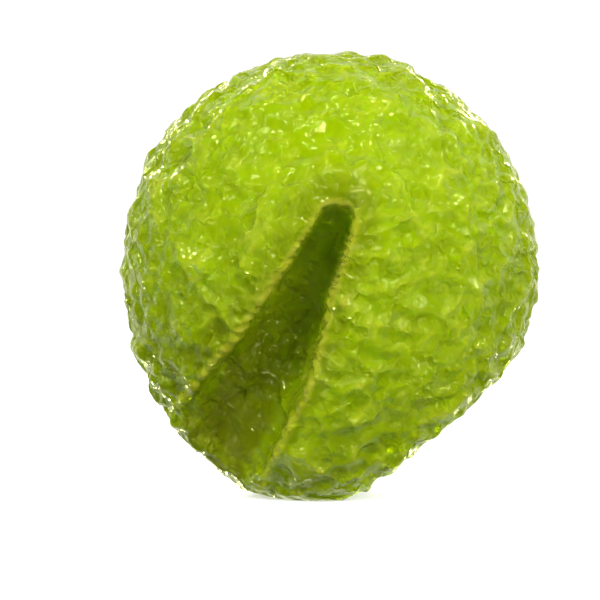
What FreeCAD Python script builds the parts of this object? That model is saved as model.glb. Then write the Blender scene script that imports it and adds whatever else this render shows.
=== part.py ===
"""Gel stress ball, squeezed: a thick soft skin, its gel filling, and the plug and glue that close the fill port.

The ball stands on its flattened foot. +Z is up, +X is to the right and -Y is the front, where a thumb has
pressed a deep groove. The origin is the centre of the foot. Sizes are in millimetres.
"""

import FreeCAD, Part
import math
import os

from FreeCAD import Vector

# The squeezed ball. Its widest level is the height of its middle.
HALF_WIDTH = 47.0
HALF_THICKNESS = 30.0
CROWN = 47.0
SKIRT = 57.0
FOOT_TRIM = 3.0
MIDDLE = Vector(0, 0, SKIRT - FOOT_TRIM)
SKIN = 5.0

# The groove that the thumb pressed, as the shape of the thumb and the line that it lies on.
THUMB_TIP = MIDDLE + Vector(1.5, -22.5, 12.0)
THUMB_ROOT = MIDDLE + Vector(-27.0, -18.5, -46.0)
THUMB_TIP_RADIUS = 8.5
THUMB_ROOT_RADIUS = 14.5
THUMB_LENGTH = 80.0
LIP_RADIUS = SKIN

# The flat that the fingers pressed into the lower right, towards the back.
FINGER_REACH = 42.2
FINGER_DOWN = math.radians(51.0)
FINGER_BACK = math.radians(10.0)

# The fill port in the middle of the back, with its mushroom plug and the ring of glue round the plug's head.
PORT_HEAD_RADIUS = 7.0
PORT_BORE_RADIUS = 2.6
PORT_SINK = 2.4
PLUG_HEAD_RADIUS = 5.4
PLUG_HEAD_HEIGHT = 2.0
PLUG_HEAD_ROUND = 0.6
PLUG_STEM_RADIUS = 2.5
PLUG_BARB_RADIUS = 4.4
PLUG_BARB_LENGTH = 4.0
PLUG_BARB_RIM = 1.0
PLUG_BARB_SINK = 0.3
PLUG_TIP_RADIUS = 1.4
DIMPLE_RADIUS = 1.2
DIMPLE_DEPTH = 0.5
FIT_GAP = 0.1
GLUE_CROWN = 0.35

# Building aids: a size larger than the ball, how far a cut starts outside it, and how close counts as touching.
FAR = 200.0
OVERSHOOT = 1.0
SHORTEST_LIP = 1.0
TOUCHING = 0.001


def half_ellipsoid(half_width, half_thickness, height, lowest, highest):
    """The part of an ellipsoid between two latitudes, centred at the ball's middle."""
    dome = Part.makeSphere(1.0, Vector(), Vector(0, 0, 1), lowest, highest, 360)
    stretch = FreeCAD.Matrix()
    stretch.scale(half_width, half_thickness, height)
    return dome.transformGeometry(stretch).translated(MIDDLE)


def egg(inset):
    """The squeezed ball without groove or flats, inset from the outer surface."""
    half_width = HALF_WIDTH - inset
    half_thickness = HALF_THICKNESS - inset
    crown = half_ellipsoid(half_width, half_thickness, CROWN - inset, 0, 90)
    skirt = half_ellipsoid(half_width, half_thickness, SKIRT - inset, -90, 0)
    return crown.fuse(skirt).removeSplitter()


def below_foot(inset):
    """Everything that the flat foot cuts away."""
    return Part.makeBox(FAR, FAR, FAR, Vector(-FAR / 2, -FAR / 2, inset - FAR))


def behind_fingers(inset):
    """Everything that the flat under the fingers cuts away."""
    across = math.cos(FINGER_BACK)
    outward = Vector(
        across * math.cos(FINGER_DOWN),
        math.sin(FINGER_BACK),
        -across * math.sin(FINGER_DOWN),
    )
    block = Part.makeBox(FAR, FAR, FAR, Vector(-FAR / 2, -FAR / 2, 0))
    turn = FreeCAD.Rotation(Vector(0, 0, 1), outward)
    block.Placement = FreeCAD.Placement(MIDDLE + outward * (FINGER_REACH - inset), turn)
    return block


def thumb(inset):
    """The thumb that pressed the groove, thicker by the inset: a round tip that flares towards the root."""
    tip_radius = THUMB_TIP_RADIUS + inset
    root_radius = THUMB_ROOT_RADIUS + inset
    flare_length = THUMB_LENGTH - tip_radius
    flare = root_radius - tip_radius
    flare_arc = (flare_length**2 + flare**2) / (2 * flare)
    halfway = flare_length / 2
    bulge = flare_arc - math.sqrt(flare_arc**2 - halfway**2)
    diagonal = tip_radius * math.sqrt(0.5)
    tip = Vector(0, 0, 0)
    shoulder = Vector(tip_radius, 0, tip_radius)
    rim = Vector(root_radius, 0, THUMB_LENGTH)
    cap = Vector(0, 0, THUMB_LENGTH)
    outline = [
        Part.Arc(tip, Vector(diagonal, 0, tip_radius - diagonal), shoulder).toShape(),
        Part.Arc(shoulder, Vector(tip_radius + bulge, 0, tip_radius + halfway), rim).toShape(),
        Part.makeLine(rim, cap),
        Part.makeLine(cap, tip),
    ]
    solid = Part.Face(Part.Wire(outline)).revolve(Vector(), Vector(0, 0, 1), 360)
    line = (THUMB_ROOT - THUMB_TIP).normalize()
    turn = FreeCAD.Rotation(Vector(0, 0, 1), line)
    solid.Placement = FreeCAD.Placement(THUMB_TIP - line * inset, turn)
    return solid


def pressed_ball(inset):
    """The squeezed ball with its flats and its groove, inset from the outer surface, with sharp lips."""
    flattened = egg(inset).cut(behind_fingers(inset)).cut(below_foot(inset))
    return flattened.cut(thumb(inset)).Solids[0]


def round_lips(ball):
    """The ball with the lips of its groove rounded, by the skin's thickness, so that inside they are sharp."""
    pressing = thumb(0.0)
    lips = [edge for edge in ball.Edges if lies_on(edge, pressing)]
    return ball.makeFillet(LIP_RADIUS, lips).Solids[0]


def lies_on(edge, solid):
    """True when an edge of some length lies on the solid's own curved faces."""
    if edge.Length < SHORTEST_LIP:
        return False
    middle = Part.Vertex(edge.valueAt((edge.FirstParameter + edge.LastParameter) / 2))
    return min(face.distToShape(middle)[0] for face in solid.Faces) < TOUCHING


def turned_about_port(outline):
    """A solid of revolution about the port's axis, from (radius, y) points joined by straight lines."""
    points = [Vector(radius, y, MIDDLE.z) for radius, y in outline]
    face = Part.Face(Part.makePolygon(points + points[:1]))
    return face.revolve(MIDDLE, Vector(0, 1, 0), 360)


# Depths along the port's axis, from the outside in.
SEAT_Y = HALF_THICKNESS - PORT_SINK
HEAD_TOP_Y = SEAT_Y + PLUG_HEAD_HEIGHT
LEDGE_Y = HALF_THICKNESS - SKIN - PLUG_BARB_SINK
TIP_Y = LEDGE_Y - PLUG_BARB_LENGTH


def port_space():
    """The room for the plug and the glue: counterbore, bore, and the plug's barb with a gap all round."""
    return turned_about_port([
        (0, HALF_THICKNESS + OVERSHOOT),
        (PORT_HEAD_RADIUS, HALF_THICKNESS + OVERSHOOT),
        (PORT_HEAD_RADIUS, SEAT_Y - FIT_GAP),
        (PORT_BORE_RADIUS, SEAT_Y - FIT_GAP),
        (PORT_BORE_RADIUS, LEDGE_Y + FIT_GAP),
        (PLUG_BARB_RADIUS + FIT_GAP, LEDGE_Y + FIT_GAP),
        (PLUG_BARB_RADIUS + FIT_GAP, LEDGE_Y - PLUG_BARB_RIM),
        (PLUG_TIP_RADIUS + FIT_GAP, TIP_Y - FIT_GAP),
        (0, TIP_Y - FIT_GAP),
    ])


def fill_plug():
    """The mushroom plug: a flat round head with a dimple, a stem, and a barb inside the skin."""
    body = turned_about_port([
        (0, HEAD_TOP_Y),
        (PLUG_HEAD_RADIUS, HEAD_TOP_Y),
        (PLUG_HEAD_RADIUS, SEAT_Y),
        (PLUG_STEM_RADIUS, SEAT_Y),
        (PLUG_STEM_RADIUS, LEDGE_Y),
        (PLUG_BARB_RADIUS, LEDGE_Y),
        (PLUG_BARB_RADIUS, LEDGE_Y - PLUG_BARB_RIM),
        (PLUG_TIP_RADIUS, TIP_Y),
        (0, TIP_Y),
    ])
    rim_edges = [
        edge for edge in body.Edges
        if abs(edge.BoundBox.YMin - HEAD_TOP_Y) < TOUCHING and edge.BoundBox.YLength < TOUCHING
        and abs(edge.BoundBox.XMax - PLUG_HEAD_RADIUS) < TOUCHING
    ]
    body = body.makeFillet(PLUG_HEAD_ROUND, rim_edges)
    ball_radius = (DIMPLE_RADIUS**2 + DIMPLE_DEPTH**2) / (2 * DIMPLE_DEPTH)
    dimple_centre = Vector(MIDDLE.x, HEAD_TOP_Y - DIMPLE_DEPTH + ball_radius, MIDDLE.z)
    return body.cut(Part.makeSphere(ball_radius, dimple_centre)).Solids[0]


def plug_seal():
    """The ring of cured glue between the plug's head and the counterbore, crowned on top."""
    outer = PORT_HEAD_RADIUS - FIT_GAP
    inner = PLUG_HEAD_RADIUS
    top = HEAD_TOP_Y - PLUG_HEAD_ROUND
    seat = SEAT_Y
    corner = Vector(inner, top, MIDDLE.z)
    edge = Vector(outer, top, MIDDLE.z)
    crest = Vector((inner + outer) / 2, top + GLUE_CROWN, MIDDLE.z)
    outline = [
        Part.makeLine(Vector(inner, seat, MIDDLE.z), Vector(outer, seat, MIDDLE.z)),
        Part.makeLine(Vector(outer, seat, MIDDLE.z), edge),
        Part.Arc(edge, crest, corner).toShape(),
        Part.makeLine(corner, Vector(inner, seat, MIDDLE.z)),
    ]
    return Part.Face(Part.Wire(outline)).revolve(MIDDLE, Vector(0, 1, 0), 360)


def main():
    outside = round_lips(pressed_ball(0.0))
    cavity = pressed_ball(SKIN)
    room = port_space()
    parts = {
        "skin": outside.cut(cavity).cut(room),
        "filling": cavity.cut(room),
        "fill_plug": fill_plug(),
        "plug_seal": plug_seal(),
    }
    os.makedirs("parts", exist_ok=True)
    for name, shape in parts.items():
        solid = shape.Solids[0]
        print(name, "solids", len(shape.Solids), "valid", solid.isValid(), "volume", round(solid.Volume))
        solid.exportStep("parts/" + name + ".step")


main()
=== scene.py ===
"""Looks of the squeezed gel stress ball: a clear crystal skin over lime gel, with its plug at the back."""

import math

import bpy
import numpy as np
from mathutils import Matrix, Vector


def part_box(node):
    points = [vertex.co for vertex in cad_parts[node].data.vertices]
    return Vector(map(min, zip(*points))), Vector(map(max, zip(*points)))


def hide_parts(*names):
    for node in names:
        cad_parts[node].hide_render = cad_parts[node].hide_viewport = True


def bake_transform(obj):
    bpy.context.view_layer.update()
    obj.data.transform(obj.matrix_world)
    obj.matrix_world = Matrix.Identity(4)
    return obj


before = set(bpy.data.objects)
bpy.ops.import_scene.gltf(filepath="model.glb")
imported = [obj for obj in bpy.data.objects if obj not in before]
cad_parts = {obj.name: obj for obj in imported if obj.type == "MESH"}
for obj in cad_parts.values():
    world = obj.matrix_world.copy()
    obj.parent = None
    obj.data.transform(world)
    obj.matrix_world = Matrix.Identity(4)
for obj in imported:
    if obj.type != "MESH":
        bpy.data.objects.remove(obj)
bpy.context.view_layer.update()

MM = 0.001

# ---------------------------------------------------------------- driving dimensions, in millimetres
# The ball stands on its foot, with +Z up and its front, where the thumb pressed, towards -Y.
SKIN_LOW, SKIN_HIGH = (np.array(corner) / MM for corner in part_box("skin"))
FILLING_LOW = np.array(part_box("filling")[0]) / MM
SEAL_LOW, SEAL_HIGH = (np.array(corner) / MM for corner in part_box("plug_seal"))

# The port's counterbore takes the last bit off the back of the skin's box.
PORT_TRIM = 0.4
HALF_WIDTH = (SKIN_HIGH[0] - SKIN_LOW[0]) / 2
HALF_THICKNESS = SKIN_HIGH[1] + PORT_TRIM
SKIN_THICKNESS = FILLING_LOW[2]
PORT_HEIGHT = (SEAL_LOW[2] + SEAL_HIGH[2]) / 2
MIDDLE = np.array([0.0, 0.0, PORT_HEIGHT])
CROWN = SKIN_HIGH[2] - PORT_HEIGHT
FOOT_TRIM = 3.0
SKIRT = PORT_HEIGHT + FOOT_TRIM

# The flat under the fingers: how far it lies from the middle, the way that it faces, and its soft edge.
FINGER_REACH = 42.2
FINGER_DOWN = math.radians(51.0)
FINGER_BACK = math.radians(10.0)
FINGER_EDGE = 2.0

# The thumb's line over the front, as (x, z) from the middle, its half width, and the level of the groove's
# floor, all from tip to root, and how round the thumb's underside is.
THUMB_LINE = np.array([[0.8, 8.2], [-4.6, -3.5], [-13.2, -22.5], [-31.0, -50.0]])
THUMB_HALF_WIDTH = (6.3, 7.2, 10.3, 14.0)
THUMB_FLOOR = (-15.5, -11.5, -9.0, -5.0)
THUMB_LENGTH = np.linalg.norm(np.diff(THUMB_LINE, axis=0), axis=1).sum()
STATIONS = np.linspace(0, 1, len(THUMB_HALF_WIDTH))
BOWL = 0.55

# The groove's wall lies between two distances from its line, in half widths. The front that the thumb pressed
# fades in between two shares of the half thickness. The gel pushed aside bulges beside the groove, less so
# towards the root.
WALL = (1.12, 0.80)
PRESSED_FRONT = (0.15, -0.05)
BULGE = 2.6
BULGE_PLACE = 1.75
BULGE_SPREAD = 0.75
BULGE_FADE = 0.5

# The groove's lips: how far they lean in over the thumb, how that fades towards the root, and how much of an
# inset widens the groove. Then where the lips lie and how far they spread, in half widths, and their beads.
LIP_CURL = 3.0
LIP_CURL_FADE = 0.6
LIP_INSET = 0.6
LIP_PLACE = 1.05
LIP_SPREAD = 0.45
BEAD_LENGTH = 2.8
BEAD_WIDTH = 1.3
BEAD_OUTWARD = 0.8

# The crystal relief: sizes of its chips, how far they wander, how wide their ridges are, the most that they
# stand in or out, and the height over which they fade in above the foot. The random numbers repeat after so
# many cells.
CHIP, DENT, GRAIN, WRINKLE = 5.6, 4.2, 2.3, 3.2
WANDER = 4.0
RIDGE = 0.13
RELIEF_LIMIT = 1.6
FOOT_FADE = 2.5
SEED = 7
CELLS = 48

# Where the relief changes over the front, measured from the middle. A pair is where the change starts and is
# full. There are wrinkles right of the groove, a calm patch near the top, larger chips at the lower left
# under painted shade, and faint chips in the groove, also under painted shade, whose pair is in half widths.
RELIEF_FRONT = (2.0, -6.0)
WRINKLED_X, WRINKLED_Z, WRINKLED_DISTANCE = (-4, 5), (22, 10), (40, 24)
WRINKLED_SLANT = 0.45
WRINKLED_SHARE = 0.8
CALM_PLACE, CALM_SPREAD = (-1, 27), (18, 13)
COARSE_AND_SHADE_X, COARSE_AND_SHADE_Z = (-8, -22), (-4, -20)
IN_GROOVE = (0.80, 0.55)

# The port in the back: room round the seal, the flare of its mouth, and the bore for the plug's stem.
PORT_GAP = 0.1
PORT_FLARE = 1.2
PORT_FLARE_TOP = 0.8
PORT_FLARE_FOOT = -0.3
PORT_CLEAR = 6.0
PORT_BORE = 2.6
PORT_END = 20.0

# Steps along a cube's edge and final mesh sizes of the three forms, and the gap between the filling and the
# skin's cavity.
SKIN_STEPS, INNER_STEPS = 170, 90
SKIN_CELL, FILLING_CELL, CAVITY_CELL = 0.74, 0.8, 1.6
CAVITY_GAP = 1.8


# ---------------------------------------------------------------- the smooth pressed ball
def smoothstep(low, high, value):
    t = np.clip((value - low) / (high - low), 0.0, 1.0)
    return t * t * (3.0 - 2.0 * t)


def hump(value, centre, spread):
    """A smooth hump of height 1 round a centre."""
    return np.exp(-((value - centre) / spread) ** 2)


def unit(vectors):
    return vectors / np.maximum(np.linalg.norm(vectors, axis=1, keepdims=True), 1e-9)


def cube_sphere(steps):
    """Points and quads of a sphere made from a cube's six faces, without doubled points."""
    along = np.tan(np.linspace(-1, 1, steps + 1) * math.pi / 4)
    a, b = np.meshgrid(along, along, indexing="ij")
    one = np.ones_like(a)
    sides = [
        (one, a, b), (-one, b, a), (b, one, a),
        (a, -one, b), (a, b, one), (b, a, -one),
    ]
    points = np.concatenate([np.stack(side, -1).reshape(-1, 3) for side in sides])
    row = np.arange(steps + 1)
    corner = (row[:-1, None] * (steps + 1) + row[None, :-1]).ravel()
    quad = np.stack([corner, corner + steps + 1, corner + steps + 2, corner + 1], 1)
    quads = np.concatenate([quad + side * (steps + 1) ** 2 for side in range(6)])
    keys = np.round(points * 1e5).astype(np.int64)
    _, first, inverse = np.unique(keys, axis=0, return_index=True, return_inverse=True)
    return unit(points[first]), inverse.ravel()[quads]


def thumb_field(x, z):
    """Distance from the thumb's line, how far along it, and the way away from it, for points of the front."""
    nearest = np.full(x.shape, 1e9)
    along = np.zeros_like(x)
    away = np.zeros((len(x), 2))
    spans = len(THUMB_LINE) - 1
    for span in range(spans):
        start = THUMB_LINE[span]
        run = THUMB_LINE[span + 1] - start
        # the line runs on beyond its root, over the rim
        furthest = 1.0 if span < spans - 1 else 1.5
        t = np.clip(((x - start[0]) * run[0] + (z - start[1]) * run[1]) / (run @ run), 0.0, furthest)
        gap = np.stack([x - start[0] - t * run[0], z - start[1] - t * run[1]], 1)
        distance = np.linalg.norm(gap, axis=1)
        nearer = distance < nearest
        nearest = np.where(nearer, distance, nearest)
        along = np.where(nearer, (span + t) / spans, along)
        away[nearer] = gap[nearer]
    return nearest, along, unit(away)


def press(points, inset=0.0):
    """The squeezed ball's form, an inset further in than its outside, from points of a unit sphere."""
    x = points[:, 0] * (HALF_WIDTH - inset)
    y = points[:, 1] * (HALF_THICKNESS - inset)
    z = points[:, 2] * np.where(points[:, 2] > 0, CROWN - inset, SKIRT - inset)
    front = smoothstep(*PRESSED_FRONT, points[:, 1])
    outer = max(0.0, 1 - inset / SKIN_THICKNESS)

    distance, along, away = thumb_field(x, z)
    half_width = np.interp(along, STATIONS, THUMB_HALF_WIDTH) + LIP_INSET * inset
    floor = np.interp(along, STATIONS, THUMB_FLOOR) + inset
    u = distance / half_width

    # the gel that the thumb pushed aside stands proud beside the groove
    y = y - front * BULGE * hump(u, BULGE_PLACE, BULGE_SPREAD) * (1 - BULGE_FADE * along)

    # the thumb's round underside, with steep walls that round over into the lips
    bowl = floor - half_width * BOWL * (1 - np.sqrt(np.clip(1 - u * u, 0, 1)))
    inside = smoothstep(*WALL, u) * front
    pressed = y + np.maximum(bowl - y, 0) * inside

    # the lips lean in over the thumb
    climb = np.clip((floor - pressed) / np.maximum(floor - y, 1.0), 0, 1)
    curl = LIP_CURL * (1 - LIP_CURL_FADE * along)
    lean = outer * front * climb * curl * hump(u, LIP_PLACE, LIP_SPREAD)
    x = x - lean * away[:, 0]
    z = z - lean * away[:, 1]

    shape = flattened(np.stack([x, pressed, z], 1) + MIDDLE, FINGER_REACH - inset)
    shape[:, 2] = np.maximum(shape[:, 2], inset)
    return shape


def flattened(shape, reach):
    """The form with the flat that the fingers pressed into its lower right, at a reach from the middle."""
    across = math.cos(FINGER_BACK)
    outward = np.array([
        across * math.cos(FINGER_DOWN), math.sin(FINGER_BACK), -across * math.sin(FINGER_DOWN)])
    beyond = (shape - MIDDLE) @ outward - reach
    eased = (beyond + FINGER_EDGE) ** 2 / (4 * FINGER_EDGE)
    excess = np.where(beyond > -FINGER_EDGE, np.where(beyond < FINGER_EDGE, eased, beyond), 0)
    return shape - excess[:, None] * outward


# ---------------------------------------------------------------- meshes
def mesh_object(name, points, faces):
    mesh = bpy.data.meshes.new(name)
    mesh.from_pydata((np.array(points) * MM).tolist(), [], faces)
    mesh.update()
    made = bpy.data.objects.new(name, mesh)
    bpy.context.scene.collection.objects.link(made)
    return made


def applied(source, name):
    """A new mesh object with the source's modifiers applied. The source is removed."""
    graph = bpy.context.evaluated_depsgraph_get()
    mesh = bpy.data.meshes.new_from_object(source.evaluated_get(graph))
    mesh.name = name
    bpy.data.objects.remove(source)
    made = bpy.data.objects.new(name, mesh)
    bpy.context.scene.collection.objects.link(made)
    return made


def remeshed(source, name, voxel):
    modifier = source.modifiers.new("even", "REMESH")
    modifier.mode = "VOXEL"
    modifier.voxel_size = voxel * MM
    return applied(source, name)


def cut(source, name, tools):
    """The source without the tools, all of which are removed."""
    for tool in tools:
        modifier = source.modifiers.new("cut", "BOOLEAN")
        modifier.operation = "DIFFERENCE"
        modifier.solver = "MANIFOLD"
        modifier.object = tool
    made = applied(source, name)
    for tool in tools:
        bpy.data.objects.remove(tool)
    return made


def points_of(item):
    co = np.empty(len(item.data.vertices) * 3)
    item.data.vertices.foreach_get("co", co)
    return co.reshape(-1, 3) / MM


def set_points(item, points):
    item.data.vertices.foreach_set("co", (points * MM).ravel())
    item.data.update()


def normals_of(item):
    normals = np.empty(len(item.data.vertices) * 3)
    item.data.vertex_normals.foreach_get("vector", normals)
    return normals.reshape(-1, 3)


def edges_of(item):
    pairs = np.empty(len(item.data.edges) * 2, np.int32)
    item.data.edges.foreach_get("vertices", pairs)
    return pairs.reshape(-1, 2)


def relaxed(points, pairs, rounds=6, share=0.5):
    """Points moved towards the mean of their neighbours, round after round."""
    count = np.bincount(pairs.ravel(), minlength=len(points))[:, None]
    for _ in range(rounds):
        total = np.zeros_like(points)
        for axis in range(3):
            total[:, axis] = np.bincount(pairs[:, 0], points[pairs[:, 1], axis], len(points))
            total[:, axis] += np.bincount(pairs[:, 1], points[pairs[:, 0], axis], len(points))
        points = points + share * (total / count - points)
    return points


# ---------------------------------------------------------------- the crystal relief
def chipped(points, size, cup, tilt, lift, salt):
    """A surface of hollow chips with sharp ridges: the lowest of the nearby cells' tilted cups.
    Gives its height, and how near each point is to the cells' ridges, from 0 to 1, which places painted
    highlights."""
    # seven random numbers for each cell: the cup's place, the way that it leans, and how high it lies
    table = np.random.default_rng(SEED + salt).random((CELLS, CELLS, CELLS, 7))
    scaled = points / size
    base = np.floor(scaled).astype(np.int64)
    lowest = np.full(len(points), 1e9)
    second = np.full(len(points), 1e9)
    for step in np.ndindex(3, 3, 3):
        cells = base + np.array(step) - 1
        chance = table[tuple((cells % CELLS).T)]
        gap = scaled - cells - chance[:, :3]
        lean = (chance[:, 3:6] - 0.5) * 2
        height = cup * (gap * gap).sum(1) + tilt * (lean * gap).sum(1) + lift * chance[:, 6]
        second = np.minimum(second, np.maximum(lowest, height))
        lowest = np.minimum(lowest, height)
    ridge_highlight = smoothstep(RIDGE, 0.0, second - lowest)
    return (lowest - np.median(lowest)) * size, ridge_highlight


def soft_noise(points, size, salt, width=1):
    """Smooth random numbers from 0 to 1 through space, width of them for each point."""
    table = np.random.default_rng(SEED + salt).random((CELLS, CELLS, CELLS, width))
    scaled = points / size
    base = np.floor(scaled).astype(np.int64)
    part = scaled - base
    part = part * part * (3 - 2 * part)
    total = np.zeros((len(points), width))
    for corner in np.ndindex(2, 2, 2):
        share = np.prod(np.where(corner, part, 1 - part), axis=1)
        total += share[:, None] * table[tuple(((base + np.array(corner)) % CELLS).T)]
    return total


def relief(points, salt):
    """For each point: how far the crystal relief stands out of the smooth form, its tint from dark to bright,
    which is painted shade and painted highlights, and how crisp the fine strokes on it are."""
    x, y, z = (points - MIDDLE).T
    distance, along, _ = thumb_field(x, z)
    half_width = np.interp(along, STATIONS, THUMB_HALF_WIDTH)
    front = smoothstep(*RELIEF_FRONT, y)

    # where the relief is wrinkled, calm, larger and under painted shade, pressed by the thumb and under
    # painted shade, or beaded with a painted highlight
    slanted = smoothstep(*WRINKLED_X, x + WRINKLED_SLANT * z)
    wrinkled = WRINKLED_SHARE * front * slanted * smoothstep(*WRINKLED_DISTANCE, distance)
    wrinkled = wrinkled * smoothstep(*WRINKLED_Z, z)
    calm = front * hump(x, CALM_PLACE[0], CALM_SPREAD[0]) * hump(z, CALM_PLACE[1], CALM_SPREAD[1])
    coarse_and_painted_shade = front * smoothstep(*COARSE_AND_SHADE_X, x) * smoothstep(*COARSE_AND_SHADE_Z, z)
    inside = front * smoothstep(*IN_GROOVE, distance / half_width)
    crest = half_width * LIP_PLACE - LIP_CURL * (1 - LIP_CURL_FADE * along) + BEAD_OUTWARD
    lip = front * hump(distance, crest, BEAD_WIDTH)

    # chips of three sizes and wrinkles drawn out sideways, all a little bent
    bent = points + WANDER * (soft_noise(points, 6.0, salt + 11, 3) - 0.5)
    strength = soft_noise(points, 9.0, salt + 12)[:, 0]
    broken = smoothstep(0.48, 0.68, soft_noise(points, 3.0, salt + 13)[:, 0])
    turned = smoothstep(0.42, 0.60, soft_noise(points, 8.0, salt + 14)[:, 0])
    drawn = np.stack([bent[:, 0] * 0.42 + bent[:, 2] * 0.10, bent[:, 1] * 0.8, bent[:, 2] * 1.15], 1)
    chips, chip_ridge = chipped(bent, CHIP, cup=0.62, tilt=0.50, lift=0.20, salt=salt + 1)
    dents, _ = chipped(bent, DENT, cup=0.55, tilt=0.45, lift=0.20, salt=salt + 2)
    grain, grain_ridge = chipped(bent, GRAIN, cup=0.55, tilt=0.50, lift=0.15, salt=salt + 3)
    wrinkles, wrinkle_ridge = chipped(drawn, WRINKLE, cup=0.70, tilt=0.55, lift=0.20, salt=salt + 4)

    plates = chips * (1 - turned) - 0.8 * dents * turned
    height = (1 - wrinkled) * plates * (1 + 0.35 * coarse_and_painted_shade) + wrinkled * wrinkles
    height = (0.9 * height + (0.12 + 0.42 * strength) * grain) * (1 - 0.65 * calm)
    height = RELIEF_LIMIT * np.tanh(height / RELIEF_LIMIT)
    run = along * THUMB_LENGTH + 6.0 * soft_noise(points, 4.0, salt + 15)[:, 0]
    beads = (0.6 + 1.4 * strength) * (np.abs(np.cos(math.pi * run / BEAD_LENGTH)) - 0.5)
    height = height * (1 - 0.8 * lip) * (1 - 0.45 * inside) + lip * beads

    # the ridges are painted bright as glints, broken into strokes
    ridge_highlight = ((1 - wrinkled) * chip_ridge * (1 - turned) + wrinkled * wrinkle_ridge) * (1 - 0.6 * calm)
    ridge_highlight = np.maximum(ridge_highlight, 0.6 * grain_ridge) * broken
    # the tint paints light onto the lime: raised chips lighter and hollows darker as painted shade, ridges
    # painted bright as glints, more so at the lower left
    tint = 0.45 + 0.09 * height * (1 - lip) * (1 - 0.6 * calm) + (0.28 + 0.3 * coarse_and_painted_shade) * ridge_highlight * (1 - inside)
    # painted shade darkens the lower left and the groove, and the lips are lifted to the bright end as a
    # painted highlight
    tint = np.maximum(tint - 0.16 * coarse_and_painted_shade - 0.2 * inside, 0.95 * lip)
    return height, np.clip(tint, 0, 1), 1 - 0.85 * calm


# ---------------------------------------------------------------- pieces
def port_cutter(name, sides=64):
    """The room that the port leaves in the skin: a flared counterbore and a bore, as one turned solid."""
    head = (SEAL_HIGH[0] - SEAL_LOW[0]) / 2 + PORT_GAP
    seat = SEAL_LOW[1] - PORT_GAP
    mouth = head + PORT_FLARE
    outside = HALF_THICKNESS + PORT_CLEAR
    outline = [
        (0.0, outside), (mouth, outside), (mouth, SEAL_HIGH[1] + PORT_FLARE_TOP),
        (head, SEAL_HIGH[1] + PORT_FLARE_FOOT), (head, seat),
        (PORT_BORE, seat), (PORT_BORE, PORT_END), (0.0, PORT_END),
    ]
    turn = np.arange(sides) * 2 * math.pi / sides
    points = []
    starts = []
    for radius, y in outline:
        starts.append(len(points))
        ring = turn if radius else turn[:1]
        points += [(radius * math.cos(t), y, PORT_HEIGHT + radius * math.sin(t)) for t in ring]
    faces = []
    for ring, (a, b) in enumerate(zip(starts, starts[1:])):
        for k in range(sides):
            n = (k + 1) % sides
            if outline[ring][0] == 0:
                faces.append((a, b + n, b + k))
            elif outline[ring + 1][0] == 0:
                faces.append((b, a + k, a + n))
            else:
                faces.append((a + k, a + n, b + n, b + k))
    return mesh_object(name, points, faces)


def pressed_form(name, steps, voxel, inset=0.0):
    """A closed, evenly meshed form of the pressed ball."""
    sphere, quads = cube_sphere(steps)
    item = remeshed(mesh_object(name, press(sphere, inset), quads.tolist()), name, voxel)
    points = relaxed(points_of(item), edges_of(item))
    points[:, 2] = np.maximum(points[:, 2], inset)
    set_points(item, points)
    return item


def roughen(item, salt, share):
    """Adds a share of the crystal relief to a form, but not to its foot, and its tint of painted shade and
    highlights, and its crispness.
    """
    points = points_of(item)
    height, tint, crisp = relief(points, salt)
    lowest = points[:, 2].min()
    off_foot = smoothstep(0.0, FOOT_FADE, points[:, 2] - lowest)
    points = points + normals_of(item) * (share * height * off_foot)[:, None]
    points[:, 2] = np.maximum(points[:, 2], lowest)
    set_points(item, points)
    for name, values in (("tint", tint), ("crisp", crisp)):
        item.data.attributes.new(name, "FLOAT", "POINT").data.foreach_set("value", values)


def crystal_skin():
    """The hollow skin: rough outside, smooth inside, with the port's room cut through its back."""
    outer = pressed_form("outer", SKIN_STEPS, SKIN_CELL)
    roughen(outer, salt=0, share=1.0)
    cavity = pressed_form("cavity", INNER_STEPS, CAVITY_CELL, SKIN_THICKNESS + CAVITY_GAP)
    return cut(outer, "crystal_skin", [cavity, port_cutter("port_cutter")])


def gel_filling():
    """The filling, which takes only a little of the relief."""
    filling = pressed_form("gel_filling", INNER_STEPS, FILLING_CELL, SKIN_THICKNESS)
    roughen(filling, salt=20, share=0.25)
    return filling


# ---------------------------------------------------------------- materials
def put(node, values):
    """Sets a node's unlinked inputs."""
    for name, value in values.items():
        node.inputs[name].default_value = value
    return node


class Look:
    """A material made from a Principled shader, with short ways to add and link nodes."""

    def __init__(self, name, values):
        self.material = bpy.data.materials.new(name)
        self.material.use_nodes = True
        self.tree = self.material.node_tree
        self.shader = put(self.tree.nodes["Principled BSDF"], values)

    def node(self, kind, values=None, **links):
        """A node with its values set and, by input name, its links."""
        made = put(self.tree.nodes.new("ShaderNode" + kind), values or {})
        for name, source in links.items():
            self.link(source, made.inputs[name])
        return made

    def link(self, source, socket):
        self.tree.links.new(source, socket)

    def attribute(self, name):
        made = self.node("Attribute")
        made.attribute_name = name
        return made.outputs["Fac"]

    def place(self):
        return self.node("TexCoord").outputs["Object"]

    def mapped(self, value, low, high, start, end):
        """A value eased from one range into another."""
        ends = {"From Min": low, "From Max": high, "To Min": start, "To Max": end}
        made = self.node("MapRange", ends, Value=value)
        made.interpolation_type = "SMOOTHSTEP"
        return made.outputs["Result"]

    def combined(self, operation, first, second):
        """Two values multiplied or added."""
        made = self.node("Math")
        made.operation = operation
        self.link(first, made.inputs[0])
        self.link(second, made.inputs[1])
        return made.outputs["Value"]

    def bump(self, height, strength, distance, sockets):
        made = self.node("Bump", {"Strength": strength, "Distance": distance}, Height=height)
        for socket in sockets:
            self.link(made.outputs["Normal"], self.shader.inputs[socket])


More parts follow.
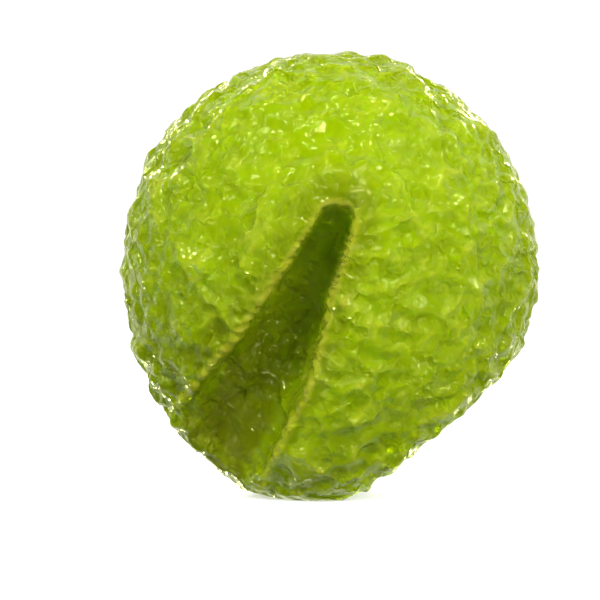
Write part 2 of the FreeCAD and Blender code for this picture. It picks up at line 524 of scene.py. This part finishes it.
def skin_material():
    """Clear soft rubber: see-through, a little milky, tinted lime, with short broken strokes all over."""
    look = Look("clear_crystal_skin", {
        "Transmission Weight": 0.62, "Roughness": 0.05, "IOR": 1.3,
        "Subsurface Weight": 1.0, "Subsurface Radius": (1.0, 1.2, 0.3), "Subsurface Scale": 0.002,
        "Coat Weight": 1.0, "Coat Roughness": 0.03,
    })
    absorb = look.node("VolumeAbsorption", {"Color": (0.85, 0.92, 0.05, 1), "Density": 60.0})
    look.link(absorb.outputs["Volume"], look.tree.nodes["Material Output"].inputs["Volume"])

    # the base colour from the tint: painted shade at the dark stop, the lime of the rubber in the middle,
    # painted highlights at the bright stop
    colour = look.node("ValToRGB", Fac=look.attribute("tint"))
    stops = colour.color_ramp.elements
    stops[0].color = (0.19, 0.19, 0.001, 1)
    stops[1].color = (0.96, 1.0, 0.06, 1)
    stops.new(0.45).color = (0.51, 0.66, 0.001, 1)
    look.link(colour.outputs["Color"], look.shader.inputs["Base Color"])

    # the edges of bent crystal cells, broken up into strokes, over the cells' own faint swell
    place = look.place()
    bend = look.node("TexNoise", {"Scale": 260.0, "Detail": 2.0}, Vector=place)
    bent = look.node("VectorMath")
    bent.operation = "MULTIPLY_ADD"
    look.link(bend.outputs["Color"], bent.inputs[0])
    bent.inputs[1].default_value = (0.005, 0.005, 0.005)
    look.link(place, bent.inputs[2])
    cells = look.node("TexVoronoi", {"Scale": 150.0}, Vector=bent.outputs["Vector"])
    cells.feature = "DISTANCE_TO_EDGE"
    edge = cells.outputs["Distance"]
    patches = look.node("TexNoise", {"Scale": 170.0}, Vector=place)
    broken = look.mapped(patches.outputs["Fac"], 0.47, 0.60, 0.0, 1.0)
    strokes = look.combined("MULTIPLY", look.mapped(edge, 0.0, 0.11, 1.0, 0.0), broken)
    height = look.combined("ADD", strokes, look.mapped(edge, 0.0, 0.5, 0.9, 0.0))
    height = look.combined("MULTIPLY", height, look.attribute("crisp"))
    look.bump(height, 0.6, 0.0016, ["Normal"])
    look.bump(height, 1.0, 0.0016, ["Coat Normal"])
    return look.material


def gel_material():
    """Lime gel: soft to the light, and smoother than the skin."""
    return Look("lime_gel", {
        "Base Color": (0.56, 0.74, 0.001, 1), "Roughness": 0.35,
        "Subsurface Weight": 0.8, "Subsurface Radius": (1.0, 1.2, 0.1), "Subsurface Scale": 0.008,
    }).material


def rubber_material(name, colour, roughness, grain):
    """Plain moulded rubber or glue: cloudy in its colour, with a fine uneven surface."""
    look = Look(name, {"Roughness": roughness})
    cloud = look.node("TexNoise", {"Scale": grain, "Detail": 4.0}, Vector=look.place()).outputs["Fac"]
    tone = look.node("Mix")
    tone.data_type = "RGBA"
    put(tone, {"A": [0.75 * channel for channel in colour] + [1]})
    put(tone, {"B": [1.25 * channel for channel in colour] + [1]})
    look.link(cloud, tone.inputs["Factor"])
    look.link(tone.outputs["Result"], look.shader.inputs["Base Color"])
    look.bump(cloud, 0.4, 0.0004, ["Normal"])
    return look.material


# ---------------------------------------------------------------- studio
# Directions of the world's light, the point that the lamps face, and the strength of the white that is seen.
UP_FRONT = (0.3, -0.5, 0.8)
BACK = (0, 1, 0)
MARK = Vector((0, 0, PORT_HEIGHT))
SEEN_WHITE = 1.08
FLOOR_HALF = 3000

# Rings of strips, as degrees from straight in front and how many, with powers in watts above and below.
STRIP_RINGS = ((32, 4), (62, 6), (140, 4))
STRIP_AWAY, STRIP_LENGTH, STRIP_WIDTH = 600, 220, 16
HIGH_STRIP, LOW_STRIP = 0.65, 0.25
STRIP_COLOUR = (1.0, 1.0, 0.4)

# Soft square lamps: places, powers in watts, and their side.
SOFT_LAMPS = (
    ("key", (260, -450, 330), 2.3),
    ("fill", (-250, -450, 330), 1.7),
    ("back", (-200, 500, 350), 1.7),
)
SOFT_SIDE = 200

# The camera, a long lens that looks a little down.
CAMERA_PLACE = (-6.8, -450.0, 54.7)
CAMERA_TILT = math.radians(88.75)
FOCAL_LENGTH, SENSOR_WIDTH = 118, 36


def add_world():
    """White all round for the camera, soft light from the upper front, a bright backdrop through the clear
    skin, and for reflections a dark front with a bright back."""
    made = bpy.data.worlds.new("studio")
    bpy.context.scene.world = made
    made.use_nodes = True
    nodes, links = made.node_tree.nodes, made.node_tree.links
    background = nodes["Background"]
    ray = nodes.new("ShaderNodeLightPath").outputs
    direction = nodes.new("ShaderNodeTexCoord").outputs["Generated"]

    def ramp(way, low, high, dark, light):
        toward = nodes.new("ShaderNodeVectorMath")
        toward.operation = "DOT_PRODUCT"
        toward.inputs[1].default_value = way
        links.new(direction, toward.inputs[0])
        node = nodes.new("ShaderNodeMapRange")
        put(node, {"From Min": low, "From Max": high, "To Min": dark, "To Max": light})
        links.new(toward.outputs["Value"], node.inputs["Value"])
        return node.outputs["Result"]

    def choice(flag, kind="FLOAT"):
        node = nodes.new("ShaderNodeMix")
        node.data_type = kind
        links.new(flag, node.inputs["Factor"])
        return node

    around = nodes.new("ShaderNodeMath")
    around.operation = "MAXIMUM"
    links.new(ramp(UP_FRONT, low=-0.7, high=0.8, dark=0.1, light=0.65), around.inputs[0])
    links.new(ramp(BACK, low=0.3, high=0.8, dark=0.0, light=1.5), around.inputs[1])
    seen = put(choice(ray["Is Camera Ray"]), {"B": SEEN_WHITE})
    links.new(around.outputs[0], seen.inputs["A"])
    strength = choice(ray["Is Glossy Ray"])
    links.new(seen.outputs["Result"], strength.inputs["A"])
    links.new(ramp(BACK, low=-0.1, high=0.6, dark=0.02, light=0.8), strength.inputs["B"])
    links.new(strength.outputs["Result"], background.inputs["Strength"])
    tint = put(choice(ray["Is Glossy Ray"], "RGBA"), {"A": (1, 1, 1, 1), "B": (0.95, 1.0, 0.6, 1)})
    links.new(tint.outputs["Result"], background.inputs["Color"])


def add_floor():
    """A plain pale floor, lit up to the world's white. It takes shadows and throws no light at the ball."""
    corners = [(FLOOR_HALF * x, FLOOR_HALF * y, 0) for x, y in ((-1, -1), (1, -1), (1, 1), (-1, 1))]
    made = mesh_object("floor", corners, [(0, 1, 2, 3)])
    made.data.materials.append(Look("pale_floor", {
        "Base Color": (0.985, 0.985, 0.985, 1), "Roughness": 0.6, "Emission Strength": 0.5}).material)
    made.visible_glossy = False
    made.visible_transmission = False
    made.visible_diffuse = False


def lamp_at(name, place, width, height, power):
    """A rectangular lamp that faces the ball."""
    light = bpy.data.lights.new(name, "AREA")
    light.shape = "RECTANGLE"
    light.size = width * MM
    light.size_y = height * MM
    light.energy = power
    lamp = bpy.data.objects.new(name, light)
    bpy.context.scene.collection.objects.link(lamp)
    lamp.location = place * MM
    lamp.rotation_euler = (MARK * MM - lamp.location).to_track_quat("-Z", "Y").to_euler()
    return lamp


def add_lamps():
    """Rings of thin strips, seen only as glints, and large soft lamps that light the ball."""
    for tilt, count in STRIP_RINGS:
        out = math.sin(math.radians(tilt))
        for step in range(count):
            turn = 2 * math.pi * (step + 0.5) / count
            way = Vector((out * math.cos(turn), -math.cos(math.radians(tilt)), out * math.sin(turn)))
            power = HIGH_STRIP if way.z > 0 else LOW_STRIP
            strip = lamp_at(f"strip_{tilt}_{step}", MARK + STRIP_AWAY * way, STRIP_LENGTH, STRIP_WIDTH, power)
            strip.data.color = STRIP_COLOUR
            strip.visible_diffuse = False
            strip.visible_camera = False
    for name, place, power in SOFT_LAMPS:
        lamp_at(name, Vector(place), SOFT_SIDE, SOFT_SIDE, power).visible_glossy = False


def add_camera():
    """A long lens, nearly level, from where the ball was seen in the hand."""
    lens = bpy.data.cameras.new("camera")
    lens.lens = FOCAL_LENGTH
    lens.sensor_width = SENSOR_WIDTH
    item = bpy.data.objects.new("camera", lens)
    bpy.context.scene.collection.objects.link(item)
    item.location = Vector(CAMERA_PLACE) * MM
    item.rotation_euler = (CAMERA_TILT, 0, 0)
    bpy.context.scene.camera = item


filling = gel_filling()
skin = crystal_skin()
for item, material in ((skin, skin_material()), (filling, gel_material())):
    item.data.polygons.foreach_set("use_smooth", [True] * len(item.data.polygons))
    item.data.materials.clear()
    item.data.materials.append(material)
for node, material in (
    ("fill_plug", rubber_material("plug_rubber", (0.42, 0.60, 0.02), 0.4, 700.0)),
    ("plug_seal", rubber_material("cured_glue", (0.50, 0.62, 0.14), 0.15, 400.0)),
):
    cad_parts[node].material_slots[0].material = material
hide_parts("skin")
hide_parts("filling")
for item in (skin, filling):
    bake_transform(item)
add_world()
add_floor()
add_lamps()
add_camera()
bpy.context.scene.view_settings.view_transform = "Standard"
